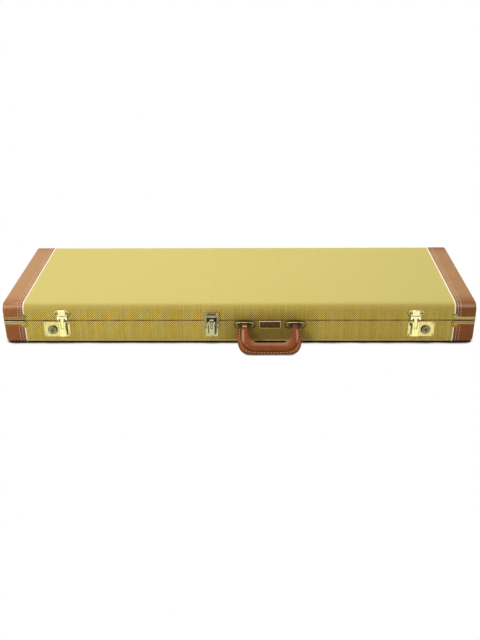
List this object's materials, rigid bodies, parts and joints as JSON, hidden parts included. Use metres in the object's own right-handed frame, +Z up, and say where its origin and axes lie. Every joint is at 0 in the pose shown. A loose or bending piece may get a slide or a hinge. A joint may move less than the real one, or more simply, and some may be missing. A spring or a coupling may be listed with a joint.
{
  "type": "guitar case",
  "caption": "Rectangular hard case for an electric guitar, tweed with leather ends, hinged lid, draw latches with key locks, swinging handle and lined inside with neck rest and compartment.",
  "frame": {"origin": "centre of the base shell's flat underside, which the closed case lies on", "axes": "+X along the length to the right as seen from the handle side, +Y from the handle side to the hinge side, +Z up through the lid"},
  "size_m": [1.057, 0.4278, 0.0975],
  "materials": {
    "tweed_on_plywood": "woven tweed cloth, lacquered, glued over plywood",
    "leather": "smooth tan leather",
    "piping": "cream vinyl",
    "rail_brass": "dull brass",
    "latch_brass": "polished brass",
    "nickel": "polished nickel plate",
    "aged_brass": "darkened brass",
    "badge": "maroon enamel in a brass rim",
    "plush": "short plush over foam"
  },
  "bodies": {
    "case_base": {"base_shell": "tweed_on_plywood", "base_leather_left": "leather", "base_leather_right": "leather", "base_piping_left": "piping", "base_piping_right": "piping", "base_rail_left": "rail_brass", "base_rail_right": "rail_brass", "hinge_left_base_leaf": "rail_brass", "hinge_left_pin": "nickel", "hinge_middle_base_leaf": "rail_brass", "hinge_middle_pin": "nickel", "hinge_right_base_leaf": "rail_brass", "hinge_right_pin": "nickel", "left_latch_plate": "latch_brass", "right_latch_plate": "latch_brass", "middle_latch_plate": "nickel", "handle_mount_left": "aged_brass", "handle_mount_right": "aged_brass", "badge_plate": "badge", "base_glide_left": "nickel", "base_glide_right": "nickel", "base_lining": "plush", "floor_pad": "plush", "compartment_walls": "plush", "front_block": "plush", "neck_rest": "plush", "waist_pad_front": "plush", "waist_pad_back": "plush"},
    "lid": {"lid_shell": "tweed_on_plywood", "lid_leather_left": "leather", "lid_leather_right": "leather", "lid_piping_left": "piping", "lid_piping_right": "piping", "lid_rail_left": "rail_brass", "lid_rail_right": "rail_brass", "hinge_left_lid_leaf": "rail_brass", "hinge_middle_lid_leaf": "rail_brass", "hinge_right_lid_leaf": "rail_brass", "left_latch_keeper": "latch_brass", "right_latch_keeper": "latch_brass", "middle_latch_keeper": "nickel", "lid_glide_left": "nickel", "lid_glide_right": "nickel", "lid_lining": "plush", "lid_pad": "plush"},
    "left_latch_lever": {"left_latch_lever": "latch_brass", "left_latch_link_pin": "latch_brass"},
    "left_latch_link": {"left_latch_link": "latch_brass"},
    "left_latch_lock": {"left_latch_lock_plug": "nickel"},
    "right_latch_lever": {"right_latch_lever": "latch_brass", "right_latch_link_pin": "latch_brass"},
    "right_latch_link": {"right_latch_link": "latch_brass"},
    "right_latch_lock": {"right_latch_lock_plug": "nickel"},
    "middle_latch_lever": {"middle_latch_lever": "nickel", "middle_latch_link_pin": "nickel"},
    "middle_latch_link": {"middle_latch_link": "nickel"},
    "handle": {"handle_grip": "leather"},
    "compartment_flap": {"compartment_flap": "plush", "compartment_tab": "leather"}
  },
  "joints": [
    {"name": "lid_hinge", "type": "hinge", "parent": "case_base", "child": "lid", "pos_m": [0, 0.1808, 0.0571], "axis": [-1, 0, 0], "range_deg": [0, 100]},
    {"name": "left_latch_lever_hinge", "type": "hinge", "parent": "case_base", "child": "left_latch_lever", "pos_m": [-0.3945, -0.1826, 0.0532], "axis": [-1, 0, 0], "range_deg": [0, 120]},
    {"name": "left_latch_link_hinge", "type": "hinge", "parent": "left_latch_lever", "child": "left_latch_link", "pos_m": [-0.3945, -0.1819, 0.0452], "axis": [-1, 0, 0], "range_deg": [-120, 0]},
    {"name": "left_latch_lock_turn", "type": "hinge", "parent": "case_base", "child": "left_latch_lock", "pos_m": [-0.4185, -0.18, 0.0345], "axis": [0, -1, 0], "range_deg": [0, 90]},
    {"name": "right_latch_lever_hinge", "type": "hinge", "parent": "case_base", "child": "right_latch_lever", "pos_m": [0.3945, -0.1826, 0.0532], "axis": [-1, 0, 0], "range_deg": [0, 120]},
    {"name": "right_latch_link_hinge", "type": "hinge", "parent": "right_latch_lever", "child": "right_latch_link", "pos_m": [0.3945, -0.1819, 0.0452], "axis": [-1, 0, 0], "range_deg": [-120, 0]},
    {"name": "right_latch_lock_turn", "type": "hinge", "parent": "case_base", "child": "right_latch_lock", "pos_m": [0.4185, -0.18, 0.0345], "axis": [0, -1, 0], "range_deg": [0, 90]},
    {"name": "middle_latch_lever_hinge", "type": "hinge", "parent": "case_base", "child": "middle_latch_lever", "pos_m": [-0.0594, -0.1826, 0.0532], "axis": [-1, 0, 0], "range_deg": [0, 120]},
    {"name": "middle_latch_link_hinge", "type": "hinge", "parent": "middle_latch_lever", "child": "middle_latch_link", "pos_m": [-0.0594, -0.1819, 0.0452], "axis": [-1, 0, 0], "range_deg": [-120, 0]},
    {"name": "handle_swing", "type": "hinge", "parent": "case_base", "child": "handle", "pos_m": [0.0707, -0.185, 0.0486], "axis": [-1, 0, 0], "range_deg": [-44, 55]},
    {"name": "compartment_flap_hinge", "type": "hinge", "parent": "case_base", "child": "compartment_flap", "pos_m": [0.145, 0.1626, 0.0483], "axis": [-1, 0, 0], "range_deg": [0, 55]}
  ],
  "couplings": [
    {"joint": "left_latch_link_hinge", "follows": "left_latch_lever_hinge", "ratio": -1},
    {"joint": "right_latch_link_hinge", "follows": "right_latch_lever_hinge", "ratio": -1},
    {"joint": "middle_latch_link_hinge", "follows": "middle_latch_lever_hinge", "ratio": -1},
    {"joint": "compartment_flap_hinge", "follows": "lid_hinge", "ratio": 0.55}
  ]
}
